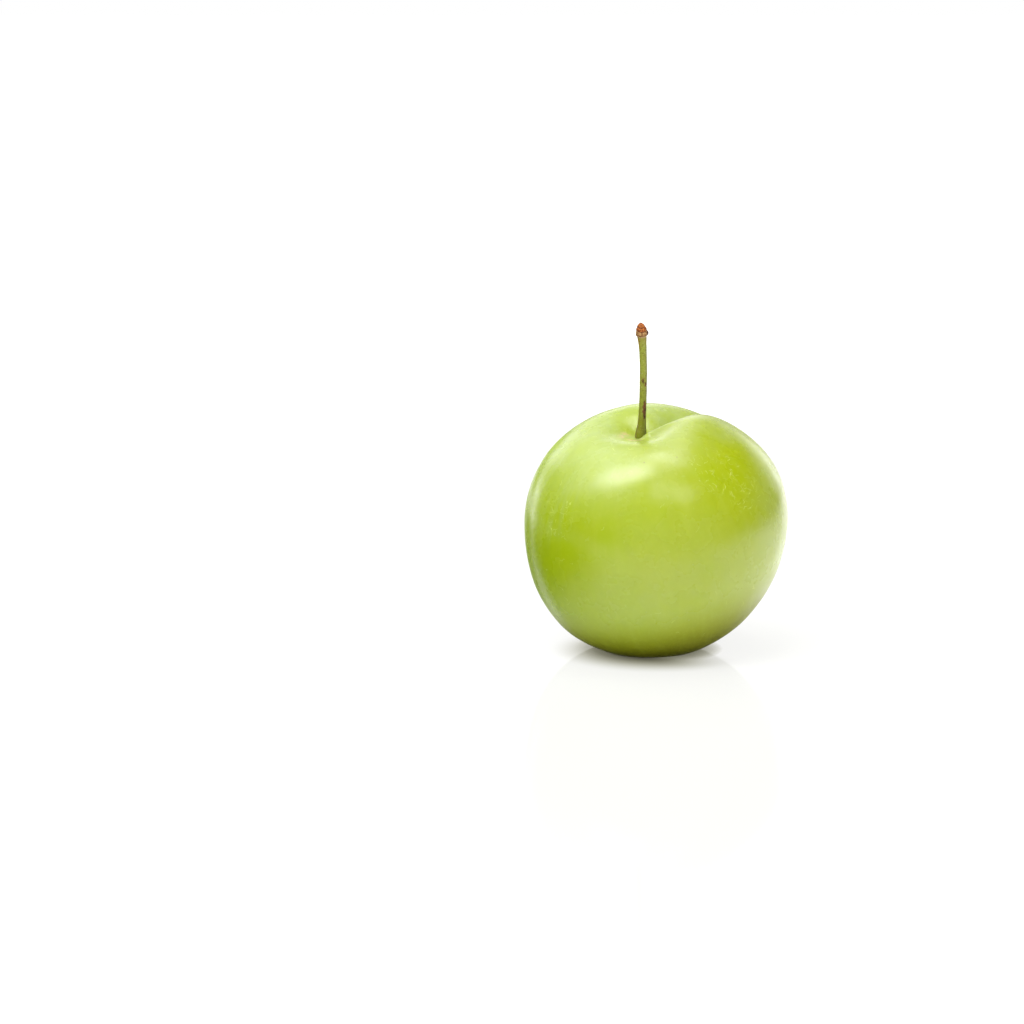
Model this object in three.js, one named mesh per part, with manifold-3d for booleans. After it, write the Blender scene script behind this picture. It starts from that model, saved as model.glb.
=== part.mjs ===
// A green plum with its stalk, resting on a small flat spot.
//
// Millimetres, +Z up. The origin is the centre of the flat spot, which lies in the plane z = 0.
// The fruit and the stalk are built round the fruit's own axis, which runs from the blossom end
// to the stalk, and are then laid down together: the axis leans towards -Y and -X.
// The skin is a formula that gives its distance from the fruit's centre in every direction. A
// direction is a polar angle from the stalk and an azimuth round the axis.

import * as THREE from 'three';
import { mergeVertices } from 'three/addons/utils/BufferGeometryUtils.js';
import Module from 'manifold-3d';

const { clamp, lerp, smoothstep } = THREE.MathUtils;
const DEGREE = Math.PI / 180;

// ---- Driving dimensions: millimetres, radians and plain ratios ----

// The body, a slightly flattened ball.
const CHEEK_RADIUS = 19;
const OVALNESS = 0.038; // how much longer it is along the suture, and shorter across it
const TOP_HEIGHT = 17.3;
const BOTTOM_HEIGHT = 18.1;
const TOP_FULLNESS = 2.09; // 2 is an ellipse, and more is squarer
const BOTTOM_FULLNESS = 2.17;
const SHOULDER_DROP = 0.076; // the shoulder is lower on the +X side and higher on the -X side
const BELLY_SWELL = 0.047; // the lower half is fuller on one side and leaner on the other
const BELLY_AZIMUTH = 193 * DEGREE;
const BELLY_OVALNESS = 0.024;
const BELLY_OVAL_AZIMUTH = 118 * DEGREE;

// The hollow round the stalk.
const HOLLOW_DEPTH = 2.85;
const HOLLOW_SPREAD = 0.3;

// The suture, a furrow that runs from the stalk over the shoulder and down one side.
const SUTURE_AZIMUTH = 44 * DEGREE;
const FURROW_AT_SHOULDER = 2.13;
const SHOULDER_POLAR = 0.42;
const SHOULDER_SPREAD = 0.29;
const FURROW_ON_SIDE = 0.4;
const FURROW_HALF_WIDTH = 2.35;
const FURROW_CREASE = 1.25; // 2 is a round-bottomed furrow, and less is a sharper crease
const LIP_HEIGHT = 0.28; // the swelling beside the furrow
const LIP_DISTANCE = 6;
const LIP_SPREAD = 0.4;

// The lip that rises in front of the stalk's foot and runs out along the suture's front side.
const FOOT_LIP_HEIGHT = 0.9;
const FOOT_LIP_ACROSS = -1.9; // its middle line, from the suture's
const FOOT_LIP_SPREAD = 1.15;
const FOOT_LIP_START = -2.5; // this and the next three lie along the suture, from the stalk
const FOOT_LIP_RISEN = 0;
const FOOT_LIP_SINKING = 0.5;
const FOOT_LIP_END = 7.8;

// How the fruit lies.
const LEAN_FORWARD = 16.3 * DEGREE;
const LEAN_LEFT = 9.9 * DEGREE;
const CENTRE = new THREE.Vector3(1.2, 1.6, 17.67);

// The stalk. It bows a little, and ends in the knob that held it to its twig.
const FOOT_CLEARANCE = 0.45; // how far the foot is above the floor of the hollow
const SOCKET_GAP = 0.34; // between the foot and the socket in the fruit, all round
const STALK_BEND = new THREE.Vector3(2.4, 0.9, 10.4); // from the foot
const STALK_TIP = new THREE.Vector3(2.5, 1.45, 16.4); // from the foot
const STALK_RADIUS = 0.49;
const FOOT_RADIUS = 0.82;
const FOOT_FLARE = 1.3;
const NECK_RADIUS = 0.74;
const NECK_FLARE = 1.5;
const KNOB_RADIUS = 0.86;
const KNOB_LENGTH = 1.7;
const KNOB_UNDERSIDE = 0.3;
const KNOB_ROUNDNESS = 0.7;

// How finely the surfaces are divided.
const FRUIT_AROUND = 84;
const FRUIT_DOWN = 52;
const ROW_CROWDING = 0.28; // how much closer the rows of facets lie at the two ends
const STALK_AROUND = 20;
const STALK_RINGS = 30;
const KNOB_RINGS = 8;

// ---- The fruit ----

// A bell of height 1 at the centre, which falls to 1/e at the given spread.
function bell(value, centre, spread) {
  return Math.exp(-(((value - centre) / spread) ** 2));
}

// The ball itself, with no hollow and no suture.
function bodyRadius(polar, azimuth) {
  const out = Math.sin(polar);
  const up = Math.cos(polar);
  const fullness = lerp(BOTTOM_FULLNESS, TOP_FULLNESS, smoothstep(up, -0.35, 0.35));
  const height = up > 0 ? TOP_HEIGHT : BOTTOM_HEIGHT;
  const width = CHEEK_RADIUS * (1 + OVALNESS * Math.cos(2 * (azimuth - SUTURE_AZIMUTH)));
  const sum = (out / width) ** fullness + (Math.abs(up) / height) ** fullness;
  const drop = SHOULDER_DROP * smoothstep(up, 0.1, 0.95) * out * Math.cos(azimuth);
  const swell = BELLY_SWELL * Math.cos(azimuth - BELLY_AZIMUTH)
    + BELLY_OVALNESS * Math.cos(2 * (azimuth - BELLY_OVAL_AZIMUTH));
  const belly = smoothstep(-up, 0, 0.8) * out * swell;
  return sum ** (-1 / fullness) * (1 - drop + belly);
}

// How deep the furrow's middle is at this polar angle.
function furrowDepth(polar) {
  const atShoulder = FURROW_AT_SHOULDER * bell(polar, SHOULDER_POLAR, SHOULDER_SPREAD);
  const onSide = FURROW_ON_SIDE * smoothstep(polar, 0.2, 0.7) * (1 - smoothstep(polar, 2.4, 3.1));
  return atShoulder + onSide;
}

// How far out along the suture, and how far to one side of it, a direction lies.
function sutureOffsets(polar, azimuth) {
  const reach = CHEEK_RADIUS * Math.sin(polar);
  const along = reach * Math.cos(azimuth - SUTURE_AZIMUTH);
  const across = reach * Math.sin(azimuth - SUTURE_AZIMUTH);
  return { along, across };
}

// What the suture takes off the body: its furrow, less the lips that swell beside it.
function sutureDepth(polar, azimuth) {
  const { along, across } = sutureOffsets(polar, azimuth);
  const away = Math.hypot(across, 0.2);
  const onSutureSide = smoothstep(along, -3, 3);
  const furrow = furrowDepth(polar) * Math.exp(-((away / FURROW_HALF_WIDTH) ** FURROW_CREASE));
  const step = (away / LIP_DISTANCE) ** 2;
  const lip = LIP_HEIGHT * bell(polar, SHOULDER_POLAR, LIP_SPREAD) * step * Math.exp(1 - step);
  return onSutureSide * (furrow - lip);
}

// How far the lip in front of the stalk's foot rises.
function footLip(polar, azimuth) {
  const { along, across } = sutureOffsets(polar, azimuth);
  const risen = smoothstep(along, FOOT_LIP_START, FOOT_LIP_RISEN);
  const sunk = smoothstep(along, FOOT_LIP_SINKING, FOOT_LIP_END);
  return FOOT_LIP_HEIGHT * bell(across, FOOT_LIP_ACROSS, FOOT_LIP_SPREAD) * risen * (1 - sunk);
}

function skinRadius(polar, azimuth) {
  const hollow = HOLLOW_DEPTH * bell(polar, 0, HOLLOW_SPREAD);
  const relief = footLip(polar, azimuth) - sutureDepth(polar, azimuth);
  return bodyRadius(polar, azimuth) - hollow + relief;
}

// A unit sphere with its poles on Z, pushed out or in to the skin.
function skinGeometry() {
  const geometry = new THREE.SphereGeometry(1, FRUIT_AROUND, FRUIT_DOWN);
  geometry.rotateX(Math.PI / 2);
  const position = geometry.getAttribute('position');
  const point = new THREE.Vector3();
  for (let i = 0; i < position.count; i += 1) {
    point.fromBufferAttribute(position, i);
    const evenPolar = Math.acos(clamp(point.z, -1, 1));
    const polar = evenPolar - ROW_CROWDING * Math.sin(2 * evenPolar);
    const azimuth = Math.atan2(point.y, point.x);
    const radius = skinRadius(polar, azimuth);
    const out = radius * Math.sin(polar);
    position.setXYZ(i, out * Math.cos(azimuth), out * Math.sin(azimuth), radius * Math.cos(polar));
  }
  return geometry;
}

// ---- Solids ----

const wasm = await Module();
wasm.setup();

function solidOf(geometry) {
  geometry.deleteAttribute('normal');
  geometry.deleteAttribute('uv');
  const merged = mergeVertices(geometry);
  return new wasm.Manifold(new wasm.Mesh({
    numProp: 3,
    vertProperties: new Float32Array(merged.getAttribute('position').array),
    triVerts: new Uint32Array(merged.getIndex().array),
  }));
}

function geometryOf(solid) {
  const { vertProperties, triVerts } = solid.getMesh();
  const geometry = new THREE.BufferGeometry();
  geometry.setAttribute('position', new THREE.BufferAttribute(vertProperties, 3));
  geometry.setIndex(new THREE.BufferAttribute(triVerts, 1));
  geometry.computeVertexNormals();
  return geometry;
}

// Everything below the plane z = 0, where the fruit has settled on its flat spot.
function tableGeometry() {
  const size = 4 * CHEEK_RADIUS;
  return new THREE.BoxGeometry(size, size, size).translate(0, 0, -size / 2);
}

// ---- The stalk ----

const foot = new THREE.Vector3(0, 0, skinRadius(0, 0) + FOOT_CLEARANCE);
const stalkLine = new THREE.QuadraticBezierCurve3(
  foot,
  foot.clone().add(STALK_BEND),
  foot.clone().add(STALK_TIP),
);
const stalkLength = stalkLine.getLength();
const knobStart = stalkLength - KNOB_LENGTH;

// The stalk's radius at a distance from its foot, up to where the knob starts.
function stalkRadius(distance) {
  const atFoot = (FOOT_RADIUS - STALK_RADIUS) * Math.exp(-Math.max(distance, 0) / FOOT_FLARE);
  const atNeck = (NECK_RADIUS - STALK_RADIUS) * Math.exp((distance - knobStart) / NECK_FLARE);
  return STALK_RADIUS + atFoot + atNeck;
}

// Half of the stalk's outline, drawn straight: the distance from the foot is along Y. A gap makes
// it that much thicker and starts it that much lower.
function stalkProfile(gap) {
  const profile = [new THREE.Vector2(0, -gap)];
  const neckEnd = knobStart - KNOB_UNDERSIDE;
  for (let i = 0; i <= STALK_RINGS; i += 1) {
    const distance = lerp(-gap, neckEnd, i / STALK_RINGS);
    profile.push(new THREE.Vector2(stalkRadius(distance) + gap, distance));
  }
  for (let i = 0; i < KNOB_RINGS; i += 1) {
    const share = i / KNOB_RINGS;
    const radius = KNOB_RADIUS * (1 - share ** 2) ** KNOB_ROUNDNESS;
    profile.push(new THREE.Vector2(radius, knobStart + KNOB_LENGTH * share));
  }
  profile.push(new THREE.Vector2(0, stalkLength));
  return profile;
}

// The straight stalk, turned on a lathe and then bent along its middle line.
function stalkGeometry(gap = 0) {
  const geometry = new THREE.LatheGeometry(stalkProfile(gap), STALK_AROUND);
  geometry.rotateX(Math.PI / 2);
  const position = geometry.getAttribute('position');
  const up = new THREE.Vector3(0, 0, 1);
  const turn = new THREE.Quaternion();
  const point = new THREE.Vector3();
  for (let i = 0; i < position.count; i += 1) {
    const share = clamp(position.getZ(i) / stalkLength, 0, 1);
    const belowFoot = Math.min(position.getZ(i), 0);
    turn.setFromUnitVectors(up, stalkLine.getTangentAt(share));
    point.set(position.getX(i), position.getY(i), belowFoot).applyQuaternion(turn);
    point.add(stalkLine.getPointAt(share));
    position.setXYZ(i, point.x, point.y, point.z);
  }
  return geometry;
}

// ---- The plum, laid down ----

const plum = new THREE.Group();
plum.rotation.set(LEAN_FORWARD, -LEAN_LEFT, 0, 'YXZ');
plum.position.copy(CENTRE);
plum.updateMatrixWorld();

function piece(name, geometry, material) {
  const mesh = new THREE.Mesh(geometry, material);
  mesh.name = name;
  plum.add(mesh);
}

const table = tableGeometry().applyMatrix4(plum.matrixWorld.clone().invert());
const socket = solidOf(stalkGeometry(SOCKET_GAP));
const fruit = solidOf(skinGeometry()).subtract(solidOf(table)).subtract(socket);

piece('fruit', geometryOf(fruit), new THREE.MeshStandardMaterial({
  color: 0xb2c63a,
  roughness: 0.35,
  metalness: 0,
}));

piece('stem', geometryOf(solidOf(stalkGeometry())), new THREE.MeshStandardMaterial({
  color: 0xa0a048,
  roughness: 0.7,
  metalness: 0,
}));

export default plum;
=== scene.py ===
"""A green plum with its stalk, on a pale floor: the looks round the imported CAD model.

The fruit's skin and the stalk are rebuilt here as fine meshes from the CAD part's own formulas,
with the small relief that a plum has, and they replace the plain CAD solids. Shapes are worked
out in millimetres in the fruit's own frame, where +Z runs from the fruit's centre to its stalk,
and are then leaned over and put where the CAD fruit is.
"""
import math

import bpy
import numpy as np
from mathutils import Matrix, Vector


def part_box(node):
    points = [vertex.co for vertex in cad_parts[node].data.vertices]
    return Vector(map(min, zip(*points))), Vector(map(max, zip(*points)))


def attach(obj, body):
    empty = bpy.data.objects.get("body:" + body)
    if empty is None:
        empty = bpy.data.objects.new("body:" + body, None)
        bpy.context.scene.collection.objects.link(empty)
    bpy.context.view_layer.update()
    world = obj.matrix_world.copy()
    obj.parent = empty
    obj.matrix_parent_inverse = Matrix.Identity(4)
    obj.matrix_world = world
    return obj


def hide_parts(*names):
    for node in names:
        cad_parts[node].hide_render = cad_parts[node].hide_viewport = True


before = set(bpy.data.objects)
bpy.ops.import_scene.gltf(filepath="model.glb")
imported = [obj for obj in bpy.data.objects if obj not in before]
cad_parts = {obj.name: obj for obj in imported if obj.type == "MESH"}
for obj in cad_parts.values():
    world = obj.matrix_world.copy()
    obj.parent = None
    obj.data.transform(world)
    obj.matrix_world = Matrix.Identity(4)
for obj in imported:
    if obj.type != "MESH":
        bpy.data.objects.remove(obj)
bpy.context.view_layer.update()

MM = 0.001

# ---- Driving dimensions of the CAD part: millimetres, radians and plain ratios ----

CHEEK_RADIUS = 19
OVALNESS = 0.038
TOP_HEIGHT = 17.3
BOTTOM_HEIGHT = 18.1
TOP_FULLNESS = 2.09
BOTTOM_FULLNESS = 2.17
SHOULDER_DROP = 0.076
BELLY_SWELL = 0.047
BELLY_AZIMUTH = math.radians(193)
BELLY_OVALNESS = 0.024
BELLY_OVAL_AZIMUTH = math.radians(118)

HOLLOW_DEPTH = 2.85
HOLLOW_SPREAD = 0.3

SUTURE_AZIMUTH = math.radians(44)
FURROW_AT_SHOULDER = 2.13
SHOULDER_POLAR = 0.42
SHOULDER_SPREAD = 0.29
FURROW_ON_SIDE = 0.4
FURROW_HALF_WIDTH = 2.35
FURROW_CREASE = 1.25
LIP_HEIGHT = 0.28
LIP_DISTANCE = 6
LIP_SPREAD = 0.4

FOOT_LIP_HEIGHT = 0.9
FOOT_LIP_ACROSS = -1.9
FOOT_LIP_SPREAD = 1.15
FOOT_LIP_START = -2.5
FOOT_LIP_RISEN = 0
FOOT_LIP_SINKING = 0.5
FOOT_LIP_END = 7.8

LEAN_FORWARD = math.radians(16.3)
LEAN_LEFT = math.radians(9.9)

FOOT_CLEARANCE = 0.45
STALK_BEND = np.array([2.4, 0.9, 10.4])
STALK_TIP = np.array([2.5, 1.45, 16.4])
STALK_RADIUS = 0.49
FOOT_RADIUS = 0.82
FOOT_FLARE = 1.3
NECK_RADIUS = 0.74
NECK_FLARE = 1.5
KNOB_RADIUS = 0.86
KNOB_LENGTH = 1.7
KNOB_UNDERSIDE = 0.3
KNOB_ROUNDNESS = 0.7

# ---- Fine relief, which only the looks have ----

FRUIT_AROUND = 480
FRUIT_DOWN = 200
STALK_AROUND = 72
STALK_ROWS = 420
STALK_SINK = 1.3
KNOB_TIERS = 3
STRAND_STRETCH = 9
WIDE_RIPPLE = 0.05
WIDE_RIPPLE_LENGTH = 9
SMALL_RIPPLE = 0.006
SMALL_RIPPLE_LENGTH = 3
CREASE_DEPTH = 0.008
SUTURE_LINE_DEPTH = 0.06


def bell(value, centre, spread):
    """A bell of height 1 at the centre, which falls to 1/e at the spread."""
    return np.exp(-(((value - centre) / spread) ** 2))


def smoothstep(value, low, high):
    share = np.clip((value - low) / (high - low), 0, 1)
    return share * share * (3 - 2 * share)


def ripples(points, wavelength, seed, waves=14):
    """Smooth bumps between about -1 and 1: a sum of waves that run in random directions."""
    rng = np.random.default_rng(seed)
    total = np.zeros(points.shape[:-1])
    for _ in range(waves):
        direction = rng.normal(size=3)
        direction /= np.linalg.norm(direction)
        length = wavelength * rng.uniform(0.7, 1.4)
        total += np.sin(points @ direction * (2 * math.pi / length) + rng.uniform(0, 2 * math.pi))
    return total / math.sqrt(waves)


def unit_directions(polar, azimuth):
    polar, azimuth = np.broadcast_arrays(polar, azimuth)
    out = np.sin(polar)
    return np.stack([out * np.cos(azimuth), out * np.sin(azimuth), np.cos(polar)], axis=-1)


# ---- The fruit's shape ----


def body_radius(polar, azimuth):
    out = np.sin(polar)
    up = np.cos(polar)
    fullness = BOTTOM_FULLNESS + (TOP_FULLNESS - BOTTOM_FULLNESS) * smoothstep(up, -0.35, 0.35)
    height = np.where(up > 0, TOP_HEIGHT, BOTTOM_HEIGHT)
    width = CHEEK_RADIUS * (1 + OVALNESS * np.cos(2 * (azimuth - SUTURE_AZIMUTH)))
    total = (out / width) ** fullness + (np.abs(up) / height) ** fullness
    drop = SHOULDER_DROP * smoothstep(up, 0.1, 0.95) * out * np.cos(azimuth)
    swell = BELLY_SWELL * np.cos(azimuth - BELLY_AZIMUTH)
    swell = swell + BELLY_OVALNESS * np.cos(2 * (azimuth - BELLY_OVAL_AZIMUTH))
    belly = smoothstep(-up, 0, 0.8) * out * swell
    return total ** (-1 / fullness) * (1 - drop + belly)


def furrow_depth(polar):
    at_shoulder = FURROW_AT_SHOULDER * bell(polar, SHOULDER_POLAR, SHOULDER_SPREAD)
    on_side = FURROW_ON_SIDE * smoothstep(polar, 0.2, 0.7) * (1 - smoothstep(polar, 2.4, 3.1))
    return at_shoulder + on_side


def suture_offsets(polar, azimuth):
    """How far along the suture's side, and how far to one side of it, a direction lies."""
    reach = CHEEK_RADIUS * np.sin(polar)
    along = reach * np.cos(azimuth - SUTURE_AZIMUTH)
    across = reach * np.sin(azimuth - SUTURE_AZIMUTH)
    return along, across


def suture_depth(polar, azimuth):
    along, across = suture_offsets(polar, azimuth)
    across = np.hypot(across, 0.2)
    furrow = furrow_depth(polar) * np.exp(-((across / FURROW_HALF_WIDTH) ** FURROW_CREASE))
    step = (across / LIP_DISTANCE) ** 2
    lip = LIP_HEIGHT * bell(polar, SHOULDER_POLAR, LIP_SPREAD) * step * np.exp(1 - step)
    return smoothstep(along, -3, 3) * (furrow - lip)


def suture_line(polar, azimuth):
    """The fine line along the bottom of the furrow: 1 on it, 0 away from it."""
    along, across = suture_offsets(polar, azimuth)
    return smoothstep(along, 0, 3) * bell(across, 0, 0.16) * (1 - smoothstep(polar, 2.95, 3.1))


def hollow_creases(polar, azimuth):
    """Fine creases that run out of the hollow, as wide gathers that fade on the shoulder."""
    rng = np.random.default_rng(7)
    total = np.zeros(np.broadcast(polar, azimuth).shape)
    for count in (9, 14, 19, 27, 36):
        phase = rng.uniform(0, 2 * math.pi)
        bend = rng.uniform(-1.5, 1.5)
        total += np.sin(count * azimuth + bend * polar * 4 + phase) / math.sqrt(count)
    fade = smoothstep(polar, 0.04, 0.14) * (1 - smoothstep(polar, 0.22, 0.62))
    return total * fade


def blossom_end(polar, azimuth):
    """The dried spot where the blossom was: a shallow dimple, gathered round a small nub."""
    dimple = 0.35 * bell(polar, math.pi, 0.13)
    nub = 0.22 * bell(polar, math.pi, 0.022)
    gathers = 0.03 * np.sin(11 * azimuth) * bell(polar, math.pi - 0.09, 0.05)
    return nub + gathers - dimple


def foot_lip(polar, azimuth):
    along, across = suture_offsets(polar, azimuth)
    risen = smoothstep(along, FOOT_LIP_START, FOOT_LIP_RISEN)
    sunk = smoothstep(along, FOOT_LIP_SINKING, FOOT_LIP_END)
    return FOOT_LIP_HEIGHT * bell(across, FOOT_LIP_ACROSS, FOOT_LIP_SPREAD) * risen * (1 - sunk)


def skin_radius(polar, azimuth):
    hollow = HOLLOW_DEPTH * bell(polar, 0, HOLLOW_SPREAD)
    relief = foot_lip(polar, azimuth) - suture_depth(polar, azimuth)
    return body_radius(polar, azimuth) - hollow + relief


def fine_radius(polar, azimuth):
    radius = skin_radius(polar, azimuth)
    points = CHEEK_RADIUS * unit_directions(polar, azimuth)
    radius = radius + WIDE_RIPPLE * ripples(points, WIDE_RIPPLE_LENGTH, seed=1)
    radius = radius + SMALL_RIPPLE * ripples(points, SMALL_RIPPLE_LENGTH, seed=2)
    radius = radius + CREASE_DEPTH * hollow_creases(polar, azimuth)
    radius = radius - SUTURE_LINE_DEPTH * suture_line(polar, azimuth)
    return radius + blossom_end(polar, azimuth)


# ---- Placing: from the fruit's own frame to the shared frame ----

LEAN = Matrix.Rotation(-LEAN_LEFT, 3, "Y") @ Matrix.Rotation(LEAN_FORWARD, 3, "X")


def lean(points):
    return points @ np.array(LEAN).T


def fruit_centre():
    """Where the fruit's centre is, in mm: its plain skin is matched to the CAD fruit's box."""
    polar = np.linspace(0, math.pi, 181)[:, None]
    azimuth = np.linspace(0, 2 * math.pi, 360, endpoint=False)[None, :]
    skin = lean(skin_radius(polar, azimuth)[..., None] * unit_directions(polar, azimuth))
    low, high = (np.array(corner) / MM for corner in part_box("fruit"))
    skin_low = skin.min(axis=(0, 1))
    skin_high = skin.max(axis=(0, 1))
    centre = (low + high - skin_low - skin_high) / 2
    centre[2] = high[2] - skin_high[2]
    return centre


CENTRE = fruit_centre()
FLOOR_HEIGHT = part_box("fruit")[0].z / MM


def grid_mesh(name, points, ends, attributes):
    """A closed skin over rows of points, from the first end point to the last, with a map."""
    rows, around = points.shape[:2]
    vertices = np.concatenate([points.reshape(-1, 3), np.array(ends)]) * MM
    first_end = rows * around
    faces = []
    map_points = []
    for row in range(rows - 1):
        for column in range(around):
            beside = (column + 1) % around
            start = row * around
            below = start + around
            faces.append((start + column, below + column, below + beside, start + beside))
            left, right = column / around, (column + 1) / around
            top, bottom = 1 - (row + 1) / (rows + 1), 1 - (row + 2) / (rows + 1)
            map_points += [(left, top), (left, bottom), (right, bottom), (right, top)]
    last = (rows - 1) * around
    one_row = 1 / (rows + 1)
    for column in range(around):
        beside = (column + 1) % around
        left, right = column / around, (column + 1) / around
        middle = (left + right) / 2
        faces.append((first_end, column, beside))
        map_points += [(middle, 1), (left, 1 - one_row), (right, 1 - one_row)]
        faces.append((first_end + 1, last + beside, last + column))
        map_points += [(middle, 0), (right, one_row), (left, one_row)]
    mesh = bpy.data.meshes.new(name)
    mesh.from_pydata(vertices.tolist(), [], faces)
    layer = mesh.uv_layers.new(name="OFBake")
    layer.data.foreach_set("uv", np.array(map_points, dtype=np.float32).ravel())
    for key, values in attributes.items():
        kind = "FLOAT_VECTOR" if values.ndim == 2 else "FLOAT"
        attribute = mesh.attributes.new(key, kind, "POINT")
        field = "vector" if values.ndim == 2 else "value"
        attribute.data.foreach_set(field, values.astype(np.float32).ravel())
    mesh.shade_smooth()
    piece = bpy.data.objects.new(name, mesh)
    bpy.context.scene.collection.objects.link(piece)
    return piece


def fruit_grid():
    """Polar angles and azimuths: rows crowd towards both ends, and columns towards the suture."""
    share = np.linspace(0, 1, FRUIT_DOWN + 2)[1:-1, None]
    polar = math.pi * share - 0.17 * np.sin(2 * math.pi * share)
    turn = np.linspace(-math.pi, math.pi, FRUIT_AROUND, endpoint=False)[None, :]
    azimuth = SUTURE_AZIMUTH + turn - 0.5 * np.sin(turn)
    return np.broadcast_arrays(polar, azimuth)


def build_fruit():
    polar, azimuth = fruit_grid()
    skin = fine_radius(polar, azimuth)[..., None] * unit_directions(polar, azimuth)
    end_polar = np.array([0, math.pi])
    end_azimuth = np.full(2, SUTURE_AZIMUTH)
    ends = fine_radius(end_polar, end_azimuth)[:, None] * unit_directions(end_polar, end_azimuth)

    polar = np.concatenate([polar.ravel(), end_polar])
    azimuth = np.concatenate([azimuth.ravel(), end_azimuth])
    strand = np.stack([np.cos(azimuth), np.sin(azimuth), polar / STRAND_STRETCH], axis=-1)
    attributes = {
        "outward": unit_directions(polar, azimuth),
        "strand": CHEEK_RADIUS * strand,
        "polar": polar,
        "suture": suture_line(polar, azimuth),
        "russet": russet(polar, azimuth),
        "ridge_sheen": ridge_sheen(polar, azimuth),
    }

    def laid(points):
        placed = lean(points) + CENTRE
        placed[..., 2] = np.maximum(placed[..., 2], FLOOR_HEIGHT)
        return placed

    return grid_mesh("plum_body", laid(skin), laid(ends), attributes)


def ridge_sheen(polar, azimuth):
    """The crest of the furrow's front side, paled with painted sheen, as a crest lit at a grazing
    angle.
    """
    along, across = suture_offsets(polar, azimuth)
    on_crest = bell(across, -2.4, 1.5)
    return on_crest * smoothstep(along, 2, 6) * (1 - smoothstep(along, 11, 15))


def russet(polar, azimuth):
    """A thin tan scar that curls round part of the hollow, beside the stalk."""
    reach = CHEEK_RADIUS * polar
    middle = 3.0 + 0.5 * np.sin(azimuth * 2)
    ring = bell(reach, middle, 0.7)
    side = np.cos(azimuth - math.radians(215))
    return ring * smoothstep(side, 0.35, 0.9)


# ---- The stalk ----


def bezier(start, bend, end, share):
    share = np.asarray(share)[..., None]
    return (1 - share) ** 2 * start + 2 * share * (1 - share) * bend + share**2 * end


FOOT = np.array([0, 0, float(skin_radius(np.array(0.0), np.array(0.0))) + FOOT_CLEARANCE])


class StalkLine:
    """The stalk's middle line, followed by its length, and straight below the foot."""

    def __init__(self):
        share = np.linspace(0, 1, 2001)
        self.points = bezier(FOOT, FOOT + STALK_BEND, FOOT + STALK_TIP, share)
        steps = np.linalg.norm(np.diff(self.points, axis=0), axis=1)
        self.lengths = np.concatenate([[0], np.cumsum(steps)])
        self.length = self.lengths[-1]
        self.start = STALK_BEND / np.linalg.norm(STALK_BEND)

    def at(self, distance):
        inside = np.clip(distance, 0, self.length)
        point = np.stack([np.interp(inside, self.lengths, axis) for axis in self.points.T], axis=-1)
        return point + np.minimum(distance, 0)[..., None] * self.start

    def tangent(self, distance):
        step = 0.01
        ahead = self.at(np.minimum(distance + step, self.length))
        behind = self.at(np.minimum(distance, self.length - step) - step)
        forward = ahead - behind
        return forward / np.linalg.norm(forward, axis=-1, keepdims=True)


STALK_LINE = StalkLine()
KNOB_START = STALK_LINE.length - KNOB_LENGTH

# Marks on the bark: distance from the foot, degrees round from the front towards +X, half length,
# half width, and how dark the mark is.
BARK_MARKS = [
    (4.0, 26, 1.05, 0.24, 1.0),
    (2.75, 30, 0.35, 0.16, 0.8),
    (8.15, -9, 0.50, 0.26, 0.42),
    (7.60, 30, 0.40, 0.18, 0.5),
    (9.1, 78, 0.30, 0.14, 0.9),
    (10.5, 76, 0.16, 0.12, 0.8),
    (9.3, -78, 0.18, 0.10, 0.8),
    (14.0, -37, 0.09, 0.07, 0.7),
    (13.3, -12, 0.07, 0.06, 0.6),
    (12.3, 2, 0.08, 0.06, 0.5),
    (5.6, 170, 0.70, 0.20, 0.9),
    (11.4, 200, 0.35, 0.16, 0.8),
    (2.2, 240, 0.50, 0.16, 0.7),
    (8.6, 140, 0.25, 0.12, 0.7),
]
SMALL_MARKS = 70


def stalk_marks():
    """The chosen marks, and many small ones that are scattered all round."""
    rng = np.random.default_rng(11)
    marks = list(BARK_MARKS)
    for _ in range(SMALL_MARKS):
        half_width = rng.uniform(0.03, 0.07)
        half_length = half_width * rng.uniform(1.0, 2.2)
        along = rng.uniform(0.3, KNOB_START - 0.6)
        marks.append((along, rng.uniform(0, 360), half_length, half_width, rng.uniform(0.1, 0.5)))
    return marks


def turn_between(angle, other):
    """The angle from one direction round to another, between minus and plus half a turn."""
    return np.angle(np.exp(1j * (angle - other)))


def mark_cover(distance, angle):
    """How much of a mark covers each place: 0 on clean bark, up to 1 on the darkest mark."""
    cover = np.zeros(distance.shape)
    for along, degrees, half_length, half_width, dark in stalk_marks():
        around = turn_between(angle, math.radians(degrees)) * STALK_RADIUS
        wander = 0.3 * np.sin(distance * 9 + degrees) * half_width
        away = ((distance - along) / half_length) ** 2 + ((around + wander) / half_width) ** 2
        cover = np.maximum(cover, dark * np.exp(-(away**1.5)))
    return cover


def stalk_radius(distance, angle, marks):
    """The plain stalk of the CAD part, with ribs, a rough bark and swollen marks."""
    above = np.maximum(distance, 0)
    at_foot = (FOOT_RADIUS - STALK_RADIUS) * np.exp(-above / FOOT_FLARE)
    at_neck = (NECK_RADIUS - STALK_RADIUS) * np.exp((distance - KNOB_START) / NECK_FLARE)
    ribs = 0.016 * np.cos(5 * angle + 0.12 * distance)
    ribs = ribs + 0.009 * np.cos(8 * angle - 0.2 * distance + 1)
    place = np.stack([np.cos(angle) * 0.6, np.sin(angle) * 0.6, distance * 0.35], axis=-1)
    bark = 0.012 * ripples(place, 0.5, seed=5) + 0.006 * ripples(place * [1, 1, 2], 0.2, seed=6)
    swell = 0.02 * ripples(np.stack([distance, 0 * angle, 0 * angle], axis=-1), 5, seed=8)
    return STALK_RADIUS + at_foot + at_neck + ribs + bark + swell + 0.02 * marks


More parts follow.
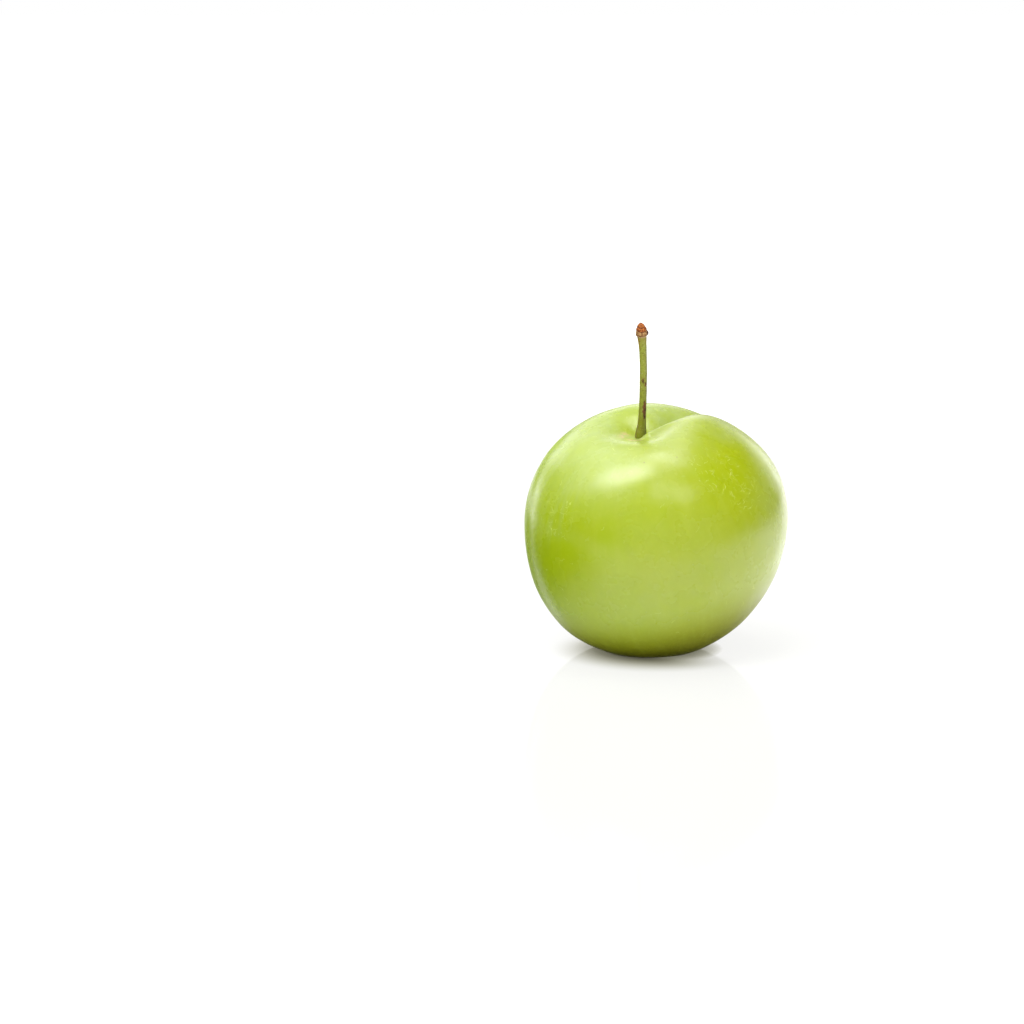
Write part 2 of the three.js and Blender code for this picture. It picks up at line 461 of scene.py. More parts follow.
def knob_tiers(share, angle):
    """Which scaly tier a place on the knob is in: the whole part, and how far up that tier."""
    wave = 0.045 * np.sin(2 * angle + 0.6) + 0.03 * np.sin(3 * angle + 2)
    wave = wave + 0.012 * np.sin(9 * angle)
    step = (share + wave) * KNOB_TIERS + 0.1
    return np.floor(step), step % 1


def knob_radius(share, angle):
    """The knob: a rounded bullet of soft overlapping folds, swollen round its underside."""
    cone = 0.94 * KNOB_RADIUS * (1 - np.clip(share, 0, 1) ** 2) ** KNOB_ROUNDNESS
    _, up_tier = knob_tiers(share, angle)
    fold = 0.085 * np.sin(math.pi * np.clip(up_tier, 0, 1)) ** 0.6 - 0.035
    fold = fold * smoothstep(share, -0.05, 0.12) * (1 - smoothstep(share, 0.8, 1.0))
    collar = 0.07 * bell(share, -0.03, 0.10)
    bump = 0.11 * dark_bump(share, angle)
    creases = 0.008 * np.sin(13 * angle + 3 * np.sin(2 * angle))
    creases = creases + 0.006 * np.sin(23 * angle + 5 * share)
    place = np.stack([np.cos(angle), np.sin(angle), 2 * share], axis=-1)
    crumbs = 0.012 * ripples(place, 0.35, seed=9)
    rough = (creases + crumbs) * (1 - smoothstep(share, 0.75, 1))
    return cone + fold + collar + bump + rough


def dark_bump(share, angle):
    """The dried purple-brown bump on one side of the knob's underside."""
    return bell(share, 0.08, 0.16) * bell(turn_between(angle, 1.35), 0, 0.45)


def stalk_grid():
    """Distances from the foot, closer together on the knob, and angles from the front."""
    rows_below = int(STALK_ROWS * 0.6)
    below = np.linspace(-STALK_SINK, KNOB_START - KNOB_UNDERSIDE, rows_below, endpoint=False)
    quarter_turn = np.linspace(0, math.pi / 2, STALK_ROWS - rows_below, endpoint=False)
    on_knob = KNOB_START - KNOB_UNDERSIDE + (KNOB_LENGTH + KNOB_UNDERSIDE) * np.sin(quarter_turn)
    distance = np.concatenate([below, on_knob])[::-1, None]
    angle = np.linspace(0, -2 * math.pi, STALK_AROUND, endpoint=False)[None, :]
    return np.broadcast_arrays(distance, angle)


def build_stalk():
    distance, angle = stalk_grid()
    marks = mark_cover(distance, angle)
    share = (distance - KNOB_START) / KNOB_LENGTH
    knob = smoothstep(distance, KNOB_START - KNOB_UNDERSIDE, KNOB_START - 0.4 * KNOB_UNDERSIDE)
    radius = stalk_radius(distance, angle, marks) * (1 - knob) + knob_radius(share, angle) * knob

    tangent = STALK_LINE.tangent(distance[:, 0])
    side = np.cross(np.array([0, 1, 0]), tangent)
    side /= np.linalg.norm(side, axis=-1, keepdims=True)
    front = np.cross(side, tangent)
    middle = STALK_LINE.at(distance[:, 0])
    skin = (
        middle[:, None, :]
        + (radius * np.sin(angle))[..., None] * side[:, None, :]
        + (radius * np.cos(angle))[..., None] * front[:, None, :]
    )
    ends = np.stack([STALK_LINE.points[-1], STALK_LINE.at(np.array(-STALK_SINK))])

    tier, up_tier = knob_tiers(share, angle)
    fields = {
        "along": (distance, STALK_LINE.length, -STALK_SINK),
        "side": (np.sin(angle), 0, 0),
        "mark": (marks, 0, 0),
        "knob": (knob, 1, 0),
        "tier": (tier, KNOB_TIERS - 1, 0),
        "groove": (1 - smoothstep(np.minimum(up_tier, 1 - up_tier), 0.02, 0.16), 0, 0),
        "dark_bump": (dark_bump(share, angle), 0, 0),
    }
    attributes = {
        name: np.concatenate([values.ravel(), [top, bottom]])
        for name, (values, top, bottom) in fields.items()
    }
    return grid_mesh("plum_stalk", lean(skin) + CENTRE, lean(ends) + CENTRE, attributes)


# ---- Materials ----


class Nodes:
    """A node tree, built up from small steps. Inputs are numbers, colours or other outputs."""

    def __init__(self, tree):
        self.tree = tree

    def node(self, kind, **settings):
        node = self.tree.nodes.new(kind)
        for key, value in settings.items():
            setattr(node, key, value)
        return node

    def put(self, socket, value):
        if isinstance(value, bpy.types.NodeSocket):
            self.tree.links.new(value, socket)
        elif isinstance(value, tuple) and len(value) == 3 and socket.type == "RGBA":
            socket.default_value = (*value, 1)
        else:
            socket.default_value = value

    def attribute(self, name, output="Fac"):
        return self.node("ShaderNodeAttribute", attribute_name=name).outputs[output]

    def math(self, operation, *inputs, clamp=False):
        node = self.node("ShaderNodeMath", operation=operation, use_clamp=clamp)
        for socket, value in zip(node.inputs, inputs):
            self.put(socket, value)
        return node.outputs[0]

    def vector(self, operation, *inputs, output=0):
        node = self.node("ShaderNodeVectorMath", operation=operation)
        for socket, value in zip(node.inputs, inputs):
            self.put(socket, value)
        return node.outputs[output]

    def dot(self, first, second):
        return self.vector("DOT_PRODUCT", first, second, output="Value")

    def scaled(self, vector, scale):
        node = self.node("ShaderNodeVectorMath", operation="SCALE")
        self.put(node.inputs[0], vector)
        self.put(node.inputs["Scale"], scale)
        return node.outputs[0]

    def noise(self, where, size, detail=2.0, roughness=0.5, distortion=0.0, output=0):
        """Smooth noise from 0 to 1, whose lumps are about `size` mm across."""
        node = self.node("ShaderNodeTexNoise")
        self.put(node.inputs["Vector"], where)
        self.put(node.inputs["Scale"], 1 / size)
        self.put(node.inputs["Detail"], detail)
        self.put(node.inputs["Roughness"], roughness)
        self.put(node.inputs["Distortion"], distortion)
        return node.outputs[output]

    def fade(self, value, low, high, to_low=0.0, to_high=1.0):
        """A smooth step from to_low, at low, to to_high, at high."""
        node = self.node("ShaderNodeMapRange", interpolation_type="SMOOTHSTEP")
        for name, number in (
            ("Value", value),
            ("From Min", low),
            ("From Max", high),
            ("To Min", to_low),
            ("To Max", to_high),
        ):
            self.put(node.inputs[name], number)
        return node.outputs["Result"]

    def mix(self, share, first, second, blend="MIX"):
        node = self.node("ShaderNodeMix", data_type="RGBA", blend_type=blend)
        self.put(node.inputs[0], share)
        self.put(node.inputs[6], first)
        self.put(node.inputs[7], second)
        return node.outputs[2]


class Surface(Nodes):
    """A material with one shader."""

    def __init__(self, name):
        self.material = bpy.data.materials.new(name)
        self.material.use_nodes = True
        super().__init__(self.material.node_tree)
        self.shader = self.tree.nodes["Principled BSDF"]

    def bump(self, height, depth_mm):
        """Small relief: height runs from 0 to 1, and depth_mm is what 1 stands for."""
        node = self.node("ShaderNodeBump")
        self.put(node.inputs["Strength"], 1.0)
        self.put(node.inputs["Distance"], depth_mm * MM)
        self.put(node.inputs["Height"], height)
        self.tree.links.new(node.outputs["Normal"], self.shader.inputs["Normal"])

    def set(self, **values):
        for name, value in values.items():
            self.put(self.shader.inputs[name.replace("_", " ")], value)


def dots(surface, where, spacing, radius, sparse):
    """Round specks: one for each cell of a scatter, kept where its random number is low."""
    cells = surface.node("ShaderNodeTexVoronoi", feature="F1")
    surface.put(cells.inputs["Vector"], where)
    surface.put(cells.inputs["Scale"], 1 / spacing)
    near = surface.math("MULTIPLY", cells.outputs["Distance"], spacing)
    chance = surface.node("ShaderNodeSeparateColor")
    surface.put(chance.inputs[0], cells.outputs["Color"])
    size = surface.math("MULTIPLY_ADD", chance.outputs[1], radius, radius * 0.5)
    spot = surface.math("SUBTRACT", 1.0, surface.fade(surface.math("DIVIDE", near, size), 0.5, 1.0))
    kept = surface.math("LESS_THAN", chance.outputs[0], sparse)
    return surface.math("MULTIPLY", spot, kept)


def hairs(surface, where, spacing, half_length, half_width, curl, sparse):
    """Short curved scratches that lie on the skin, each in a random direction of its own."""
    cells = surface.node("ShaderNodeTexVoronoi", feature="F1")
    surface.put(cells.inputs["Vector"], where)
    surface.put(cells.inputs["Scale"], 1 / spacing)
    normal = surface.node("ShaderNodeNewGeometry").outputs["Normal"]
    offset = surface.vector("SUBTRACT", where, cells.outputs["Position"])
    depth = surface.dot(offset, normal)
    offset = surface.vector("SUBTRACT", offset, surface.scaled(normal, depth))
    heading = surface.vector("SUBTRACT", cells.outputs["Color"], (0.5, 0.5, 0.5))
    lift = surface.dot(heading, normal)
    heading = surface.vector("SUBTRACT", heading, surface.scaled(normal, lift))
    heading = surface.vector("NORMALIZE", heading)
    sideways = surface.vector("CROSS_PRODUCT", heading, normal)
    along = surface.dot(offset, heading)
    across = surface.dot(offset, sideways)
    chance = surface.node("ShaderNodeSeparateColor")
    surface.put(chance.inputs[0], cells.outputs["Color"])
    bend = surface.math("MULTIPLY_ADD", chance.outputs[2], 2 * curl, -curl)
    bow = surface.math("MULTIPLY", surface.math("MULTIPLY", along, along), bend)
    across = surface.math("ABSOLUTE", surface.math("ADD", across, bow))
    narrow = surface.math("SUBTRACT", 1.0, surface.fade(across, half_width * 0.4, half_width))
    reach = surface.math("ABSOLUTE", along)
    short = surface.math("SUBTRACT", 1.0, surface.fade(reach, half_length * 0.6, half_length))
    shallow = surface.math("LESS_THAN", surface.math("ABSOLUTE", depth), spacing * 0.4)
    kept = surface.math("LESS_THAN", chance.outputs[1], sparse)
    shape = surface.math("MULTIPLY", narrow, short)
    return surface.math("MULTIPLY", surface.math("MULTIPLY", shape, shallow), kept)


def object_mm(surface):
    """Places on the piece in millimetres, in the shared frame."""
    place = surface.node("ShaderNodeTexCoord").outputs["Object"]
    return surface.scaled(place, 1 / MM)


# Colours of the skin, as linear red, green and blue.
FRESH_GREEN = (0.250, 0.335, 0.002)
RIPE_YELLOW = (0.272, 0.328, 0.002)
PALE_VEIN = (0.36, 0.42, 0.05)
# Pale wax, also laid on as painted reflection and painted sheen.
WAX_AND_PAINTED_REFLECTION = (0.44, 0.52, 0.38)
SCRATCH = (0.50, 0.57, 0.15)
TAN = (0.62, 0.42, 0.26)
BROWN = (0.10, 0.05, 0.02)
# Painted shade: the dark olive that the underside is mixed towards, for the shadow under the fruit.
PAINTED_UNDERSIDE_SHADE = (0.160, 0.156, 0.0015)

# Where scratches lie close together: polar angle and azimuth in degrees, and the patch's spread.
SCRATCHED_PATCHES = [
    (48, -42, 17),
    (62, -36, 15),
    (80, -24, 14),
    (62, -142, 13),
    (55, 95, 16),
    (95, 150, 14),
    (70, 20, 12),
]
# Dark specks on the skin: polar angle and azimuth, in degrees.
SPECKS = [(33, -92), (34, -64), (123, -42), (108, -20), (75, 120), (50, 170), (100, 60)]

# Where the pale cover is thick, partly wax and partly painted reflection of the room: polar angle,
# azimuth and spread of the patch in degrees, and how thick.
WAX_AND_REFLECTION_PATCHES = [
    (14, 165, 62, 1.7),
    (34, 12, 24, 1.4),
    (100, -12, 50, 1.0),
    (24, 52, 26, 2.2),
]
# Painted sheen along the furrow's crest: how much paler it is made.
RIDGE_PAINTED_SHEEN = 2.2

# Where it is rubbed off (the first patch, on the left, is painted shade from the neighbouring
# plums), and where soft streaks have been wiped through it.
BARE_AND_SHADED_PATCHES = [(85, -150, 45), (11, 105, 13)]
WIPED_PATCH = (54, -152, 27)


def direction(polar_degrees, azimuth_degrees):
    """The unit vector out of the fruit's centre at these angles, in the fruit's own frame."""
    polar, azimuth = math.radians(polar_degrees), math.radians(azimuth_degrees)
    return tuple(float(part) for part in unit_directions(polar, azimuth))


def patch(surface, outward, polar_degrees, azimuth_degrees, spread):
    """1 in the middle of a round patch of skin, and 0 from `spread` degrees away."""
    nearness = surface.dot(outward, direction(polar_degrees, azimuth_degrees))
    return surface.fade(nearness, math.cos(math.radians(spread)), 1)


def ripeness(skin, outward, where):
    """How yellow the skin is: more on the side away from the stalk's lean, in soft clouds."""
    side = skin.dot(outward, direction(80, -25))
    clouds = skin.noise(where, 9, detail=2)
    return skin.fade(skin.math("MULTIPLY_ADD", clouds, 1.1, side), -0.35, 1.75)


def wax_and_reflection_cover(skin, outward, where):
    """How thick the pale cover is, partly wax and partly painted reflection: thick round the stalk
    and on the lower half, thin between.
    """
    polar = skin.attribute("polar")
    # Painted reflection: the pale band on the lower half stands for the white floor mirrored in the
    # skin, over its wax.
    low = skin.math("MULTIPLY", skin.fade(polar, 1.25, 1.7), skin.fade(polar, 2.1, 1.75))
    cover = skin.math("MULTIPLY", low, 0.6)
    for polar_degrees, azimuth_degrees, spread, thick in WAX_AND_REFLECTION_PATCHES:
        here = patch(skin, outward, polar_degrees, azimuth_degrees, spread)
        cover = skin.math("MAXIMUM", cover, skin.math("MULTIPLY", here, thick))
    # Painted sheen: the furrow's crest is paled as if it caught the light at a grazing angle.
    cover = skin.math("MAXIMUM", cover, skin.math("MULTIPLY", skin.attribute("ridge_sheen"), RIDGE_PAINTED_SHEEN))
    # The first of these patches is painted shade: the pale cover is taken away where the
    # neighbouring plums would darken the skin.
    for bare_and_shaded in BARE_AND_SHADED_PATCHES:
        cover = skin.math("MULTIPLY", cover, skin.math("SUBTRACT", 1.0, patch(skin, outward, *bare_and_shaded)))
    rubbed = skin.fade(skin.noise(where, 4.5, detail=4, roughness=0.6), 0.34, 0.64, 0.45, 1.0)
    return skin.math("MULTIPLY", cover, rubbed)


def scratch_cover(skin, outward, where):
    total = None
    for polar, azimuth, spread in SCRATCHED_PATCHES:
        here = patch(skin, outward, polar, azimuth, spread)
        total = here if total is None else skin.math("MAXIMUM", total, here)
    swirl = skin.vector("SUBTRACT", skin.noise(where, 0.7, detail=1, output=1), (0.5, 0.5, 0.5))
    wavy = skin.vector("ADD", where, skin.scaled(swirl, 0.9))
    dense = hairs(skin, wavy, 1.05, 0.60, 0.050, 0.9, 0.65)
    moved = skin.vector("ADD", wavy, (3.1, 7.7, 1.9))
    loose = hairs(skin, moved, 1.6, 0.50, 0.045, 0.8, 0.10)
    crossed = hairs(skin, moved, 0.8, 0.40, 0.040, 1.3, 0.35)
    thick = skin.math("MULTIPLY", skin.math("MAXIMUM", dense, crossed), skin.fade(total, 0.1, 0.7))
    return skin.math("MAXIMUM", thick, loose)


def plum_skin():
    """Thin waxy skin over pale flesh: mottled lime green, with veins, dots and scratches."""
    skin = Surface("plum_skin")
    where = object_mm(skin)
    outward = skin.attribute("outward", "Vector")
    strand = skin.attribute("strand", "Vector")

    colour = skin.mix(ripeness(skin, outward, where), FRESH_GREEN, RIPE_YELLOW)
    blotches = skin.noise(where, 2.6, detail=3, roughness=0.55)
    colour = skin.mix(skin.fade(blotches, 0.30, 0.50, 0.22, 0), colour, FRESH_GREEN)
    # Painted shade: towards the bottom the skin is mixed to dark olive, as the shadow near the
    # floor.
    underside = skin.fade(skin.attribute("polar"), 1.75, 2.35, 0, 0.85)
    colour = skin.mix(underside, colour, PAINTED_UNDERSIDE_SHADE)

    streaks = skin.noise(strand, 0.6, detail=1)
    veins = skin.noise(strand, 1.6, detail=2, distortion=0.3)
    outside = skin.fade(skin.attribute("polar"), 0.25, 0.6)
    vein_cover = skin.math("MULTIPLY", skin.fade(veins, 0.50, 0.75, 0, 0.14), outside)
    colour = skin.mix(vein_cover, colour, PALE_VEIN)
    streak_cover = skin.math("MULTIPLY", skin.fade(streaks, 0.50, 0.80, 0, 0.10), outside)
    colour = skin.mix(streak_cover, colour, PALE_VEIN)
    cells = skin.noise(where, 0.5, detail=1)
    colour = skin.mix(skin.fade(cells, 0.48, 0.75, 0, 0.14), colour, PALE_VEIN)

    # Pale wax, with painted reflection on the lower half and on the shoulders, and painted sheen on
    # the furrow's crest.
    wax_and_reflection = wax_and_reflection_cover(skin, outward, where)
    colour = skin.mix(skin.math("MULTIPLY", wax_and_reflection, 0.13), colour, WAX_AND_PAINTED_REFLECTION)

    wiped = skin.fade(skin.noise(strand, 1.3, detail=2), 0.42, 0.68)
    wiped = skin.math("MULTIPLY", wiped, patch(skin, outward, *WIPED_PATCH))
    colour = skin.mix(skin.math("MULTIPLY", wiped, 0.085), colour, WAX_AND_PAINTED_REFLECTION)

    pores = dots(skin, where, spacing=1.25, radius=0.06, sparse=0.55)
    colour = skin.mix(skin.math("MULTIPLY", pores, 0.35), colour, WAX_AND_PAINTED_REFLECTION)
    scratches = scratch_cover(skin, outward, where)
    colour = skin.mix(skin.math("MULTIPLY", scratches, 0.64), colour, SCRATCH)

    suture = skin.math("MULTIPLY", skin.attribute("suture"), 0.25)
    colour = skin.mix(suture, colour, PALE_VEIN)
    scar = skin.math("MULTIPLY", skin.attribute("russet"), skin.fade(cells, 0.35, 0.6))
    colour = skin.mix(skin.math("MULTIPLY", scar, 0.7), colour, TAN)
    for polar, azimuth in SPECKS:
        colour = skin.mix(patch(skin, outward, polar, azimuth, 0.7), colour, BROWN)
    blossom_scar = skin.fade(skin.attribute("polar"), math.pi - 0.03, math.pi - 0.012)
    colour = skin.mix(blossom_scar, colour, BROWN)

    polish = skin.noise(where, 3.5, detail=3, roughness=0.6)
    roughness = skin.fade(polish, 0.3, 0.7, 0.23, 0.30)
    roughness = skin.math("ADD", roughness, skin.math("MULTIPLY", scratches, 0.05))
    roughness = skin.math("MULTIPLY_ADD", underside, 0.3, roughness)

    relief = skin.math("MULTIPLY_ADD", streaks, 0.30, skin.math("MULTIPLY", cells, 0.15))
    relief = skin.math("ADD", relief, skin.noise(where, 1.4, detail=1))
    skin.bump(relief, 0.003)

    skin.set(Base_Color=colour, Roughness=roughness, IOR=1.5)
    skin.set(Sheen_Weight=0.25, Sheen_Roughness=0.15)
    skin.set(Subsurface_Weight=0.4, Subsurface_Radius=(0.9, 1.0, 0.2), Subsurface_Scale=2.0 * MM)
    return skin.material


# Colours of the stalk and its knob, as linear red, green and blue.
BARK_AT_FOOT = (0.155, 0.180, 0.002)
BARK_ABOVE = (0.225, 0.245, 0.030)
# Painted shade, for the stalk's side away from the key light.
BARK_PAINTED_SHADE = (0.165, 0.165, 0.045)
BARK_TAWNY = (0.19, 0.17, 0.025)
BARK_GRAIN = (0.27, 0.29, 0.07)
BARK_LIGHT_MOTTLE = (0.32, 0.34, 0.13)
BARK_DARK_MOTTLE = (0.11, 0.075, 0.012)
BARK_SPECK = (0.28, 0.30, 0.14)
BARK_RUST = (0.14, 0.065, 0.02)
NECK_RUST = (0.30, 0.14, 0.04)
MARK_DARK = (0.035, 0.016, 0.006)
MARK_BROWN = (0.15, 0.060, 0.020)
NECK_BROWN = (0.24, 0.15, 0.04)
NECK_RING = (0.34, 0.22, 0.12)
KNOB_UPPER_DARK = (0.13, 0.030, 0.008)
KNOB_UPPER_LIGHT = (0.38, 0.12, 0.022)
KNOB_LOWER_DARK = (0.18, 0.085, 0.030)
KNOB_LOWER_LIGHT = (0.38, 0.23, 0.09)
KNOB_GROOVE = (0.08, 0.018, 0.008)
KNOB_BUMP = (0.05, 0.02, 0.02)


def knob_colour(bark, where):
    """Tawny in the lowest tier, rust brown above it, and dark in the grooves between."""
    crust = bark.noise(where, 0.25, detail=3, roughness=0.6)
    upper = bark.mix(bark.fade(crust, 0.38, 0.62), KNOB_UPPER_DARK, KNOB_UPPER_LIGHT)
    lower = bark.mix(bark.fade(crust, 0.40, 0.62), KNOB_LOWER_DARK, KNOB_LOWER_LIGHT)
    knob = bark.mix(bark.fade(bark.attribute("tier"), 0.0, 1.0), lower, upper)
    groove = bark.math("MULTIPLY", bark.attribute("groove"), 0.8)
    knob = bark.mix(groove, knob, KNOB_GROOVE)
    return bark.mix(bark.fade(bark.attribute("dark_bump"), 0.1, 0.5), knob, KNOB_BUMP)


def stalk_bark():
    """Green woody stalk, speckled and flecked with brown, with a dry knob."""
    bark = Surface("plum_stalk")
    where = object_mm(bark)
    along = bark.attribute("along")
    side = bark.attribute("side")
    fine = bark.noise(where, 0.10, detail=4, roughness=0.7)
    mottle = bark.noise(where, 0.28, detail=2, roughness=0.6)
    broad = bark.noise(where, 1.2, detail=2)
    grain = bark.noise(bark.vector("MULTIPLY", where, (1.0, 1.0, 0.12)), 0.12, detail=3)

    colour = bark.mix(bark.fade(along, 0.5, 9.5), BARK_AT_FOOT, BARK_ABOVE)
    # Painted shade: the stalk's right side, away from the key light, is greyed towards olive.
    colour = bark.mix(bark.fade(side, 0.1, 0.9, 0, 0.75), colour, BARK_PAINTED_SHADE)
    colour = bark.mix(bark.fade(broad, 0.4, 0.7, 0, 0.35), colour, BARK_TAWNY)
    colour = bark.mix(bark.fade(grain, 0.5, 0.75, 0, 0.3), colour, BARK_GRAIN)
    colour = bark.mix(bark.fade(mottle, 0.56, 0.72, 0, 0.6), colour, BARK_LIGHT_MOTTLE)
    colour = bark.mix(bark.fade(mottle, 0.44, 0.30, 0, 0.6), colour, BARK_DARK_MOTTLE)
    speckled = bark.fade(along, 10.0, 4.0, 0.15, 0.45)
    specks = bark.math("MULTIPLY", bark.fade(fine, 0.56, 0.70), speckled)
    colour = bark.mix(specks, colour, BARK_SPECK)
    rust = bark.math("MULTIPLY", bark.fade(side, -0.6, -1.0), bark.fade(along, 4.5, 2.5, 0, 0.3))
    colour = bark.mix(rust, colour, BARK_RUST)
    near_neck = bark.fade(along, 12.2, 13.4, 0, 0.5)
    neck_rust = bark.math("MULTIPLY", bark.fade(side, -0.45, -0.95), near_neck)
    colour = bark.mix(neck_rust, colour, NECK_RUST)
    ragged = bark.math("MULTIPLY", bark.attribute("mark"), bark.fade(fine, 0.25, 0.55, 0.6, 1.5))
    mark = bark.mix(bark.fade(mottle, 0.35, 0.6), MARK_DARK, MARK_BROWN)
    colour = bark.mix(bark.fade(ragged, 0.12, 0.65), colour, mark)
    neck = bark.math("MULTIPLY", bark.fade(along, KNOB_START - 1.8, KNOB_START - 0.3), 0.4)
    colour = bark.mix(neck, colour, NECK_BROWN)
    ring = bark.fade(along, KNOB_START - 0.5, KNOB_START - 0.32, 0, 0.85)
    colour = bark.mix(ring, colour, NECK_RING)
    colour = bark.mix(bark.attribute("knob"), colour, knob_colour(bark, where))

    bark.bump(bark.math("ADD", fine, bark.math("MULTIPLY", grain, 0.5)), 0.02)
    bark.set(Base_Color=colour, Roughness=0.6, IOR=1.25)
    return bark.material


# ---- Pieces ----

fruit = build_fruit()
fruit.data.materials.append(plum_skin())
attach(fruit, "root")
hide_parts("fruit")

stalk = build_stalk()
stalk.data.materials.append(stalk_bark())
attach(stalk, "root")
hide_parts("stem")

# ---- Floor, light and camera ----

LIGHT_HEIGHT = 0.6
FLOOR_SIZE = 6.0
FLOOR_DROP = 0.05

# The floor's colours: as the camera sees it, and as the light that it sends back to the fruit.
FLOOR_SEEN = (0.12, 0.12, 0.118)
FLOOR_WHITE = (0.88, 0.88, 0.87)
# Painted shade: the dark olive of the floor close to the fruit, and the dark green where the
# neighbours would stand.
FLOOR_PAINTED_SHADE_NEAR_FRUIT = (0.36, 0.35, 0.03)
FLOOR_PAINTED_NEIGHBOUR_SHADE = (0.10, 0.15, 0.004)

# The glow that the floor adds for the camera, its colour in full light and in the shadow, and how
# much more it glows far behind, where it runs into the white of the room.
FLOOR_GLOW = 0.75
GLOW_COLOUR = (1.0, 1.0, 0.985)
SHADOW_COLOUR = (0.80, 0.78, 0.45)
FAR_GLOW = 0.6
GLOW_TO_FRUIT = 0.45

# Where the neighbouring plums would stand, in mm. They are left out, but the floor there is painted
# a dark green shade, which the fruit gets as the light that the floor sends back to it.
NEIGHBOUR_PLACE = (-110, 35, 0)
FAR_NEIGHBOUR_PLACE = (-50, 120, 0)

# The pale gap between them: a strip of floor through this place, at this azimuth in degrees.
GAP_PLACE = (-15, 0, 0)
GAP_AZIMUTH = -135

# How they would look from the fruit: azimuth, elevation and half width, in degrees, and colour.
NEIGHBOUR_VIEWS = [(-107, 3, 15), (-161, 2, 12)]
NEIGHBOUR_GREEN = (0.25, 0.36, 0.02)

# The soft light of the room: azimuth from the camera's side towards +X and elevation, in degrees,
# then how sharp the glow is, and how bright its middle is.
ROOM_GLOWS = {
    "front": (0, 8, 10, 1.85),
    "front_right": (45, 8, 10, 1.7),
    "upper_front_left": (-45, 35, 10, 1.95),
    "upper_left": (-90, 60, 12, 2.3),
    "upper_back_left": (-150, 60, 12, 2.1),
    "overhead": (0, 88, 12, 1.2),
    "wall_behind": (180, 22, 40, 2.1),
    "wall_behind_left": (-150, 22, 40, 2.4),
    "left_edge": (-137, 5, 150, 5.0),
    "right_edge": (150, 8, 60, 3.5),
}

# These light the skin, but show less in its gloss, as the dark room behind the camera would: by
# how much less, as a share of the whole.
DULL_GLOWS = {"front": 0.35, "front_right": 0.35, "upper_front_left": 0.75}

# The camera, in mm and degrees: it looks at a place on the fruit, and is then moved sideways.
LENS = 120
SENSOR_WIDTH = 36
CAMERA_TILT = math.radians(10)
CAMERA_TARGET = Vector((1.2, 1.6, 17.49))
CAMERA_DISTANCE = 492.0
CAMERA_MOVED_LEFT = 20.8
CAMERA_MOVED_UP = 2.16


def toward(azimuth_degrees, elevation_degrees):
    """The unit vector towards a place in the room."""
    azimuth, elevation = math.radians(azimuth_degrees), math.radians(elevation_degrees)
    level = math.cos(elevation)
    return (level * math.sin(azimuth), -level * math.cos(azimuth), math.sin(elevation))


def contact_shadow(surface, place):
    """The soft dark rim round the flat spot: 1 is darkest. It falls forward and to the left."""
    away = surface.vector("DISTANCE", place, (1, -1, 0), output="Value")
    shade = surface.fade(away, 4.5, 15.5, 0.92, 0)
    rightward = surface.dot(place, (1.0, 0.8, 0))
    shade = surface.math("MULTIPLY", shade, surface.fade(rightward, -7, 8, 1, 0))
    hidden = surface.node("ShaderNodeAmbientOcclusion", samples=4)
    surface.put(hidden.inputs["Distance"], 1.8 * MM)
    close = surface.math("MULTIPLY_ADD", hidden.outputs["AO"], -0.75, 0.75)
    return surface.math("MAXIMUM", shade, close)


def floor_to_fruit(surface, place, from_fruit):
    """The floor's colour as the fruit gets it: painted olive shade close by, and painted green shade
    near the neighbours.
    """
    from_near = surface.vector("DISTANCE", place, NEIGHBOUR_PLACE, output="Value")
    from_far = surface.vector("DISTANCE", place, FAR_NEIGHBOUR_PLACE, output="Value")
    clear = surface.fade(from_near, 80, 120)
    clear = surface.math("MULTIPLY", clear, surface.fade(from_far, 88, 120))
    from_gap = surface.vector("SUBTRACT", place, GAP_PLACE)
    beside_gap = surface.dot(from_gap, toward(GAP_AZIMUTH + 90, 0))
    gap = surface.fade(surface.math("ABSOLUTE", beside_gap), 1, 6, 0.7, 0)
    clear = surface.math("MAXIMUM", clear, gap)
    # Painted shade: dark green where the neighbours would stand, and dark olive close to the fruit.
    colour = surface.mix(clear, FLOOR_PAINTED_NEIGHBOUR_SHADE, FLOOR_WHITE)
    return surface.mix(surface.fade(from_fruit, 7, 19), FLOOR_PAINTED_SHADE_NEAR_FRUIT, colour)


def floor_glow(surface, place, from_fruit, seen):
    """How strongly the floor glows: everywhere for the camera, and behind right for the fruit."""
    shadow = contact_shadow(surface, place)
    surface.set(Emission_Color=surface.mix(shadow, GLOW_COLOUR, SHADOW_COLOUR))
    to_camera = surface.math("MULTIPLY_ADD", shadow, -FLOOR_GLOW, FLOOR_GLOW)
    to_camera = surface.math("ADD", to_camera, surface.fade(from_fruit, 130, 350, 0, FAR_GLOW))
    to_camera = surface.math("MULTIPLY", seen, to_camera)
    behind_right = surface.fade(surface.dot(place, (0.8, 0.6, 0)), 6, 24, 0, GLOW_TO_FRUIT)
    to_fruit = surface.math("MULTIPLY", surface.math("SUBTRACT", 1.0, seen), behind_right)
    return surface.math("ADD", to_camera, to_fruit)


def floor_material():
    """A white table with a faint gloss, which mirrors the fruit a little at low angles."""
    surface = Surface("floor")
    place = object_mm(surface)
    from_fruit = surface.vector("LENGTH", place, output="Value")
    seen = surface.node("ShaderNodeLightPath").outputs["Is Camera Ray"]
    colour = surface.mix(seen, floor_to_fruit(surface, place, from_fruit), FLOOR_SEEN)
    surface.set(Base_Color=colour, Roughness=0.06, IOR=1.08)
    surface.set(Emission_Strength=floor_glow(surface, place, from_fruit, seen))
    return surface.material


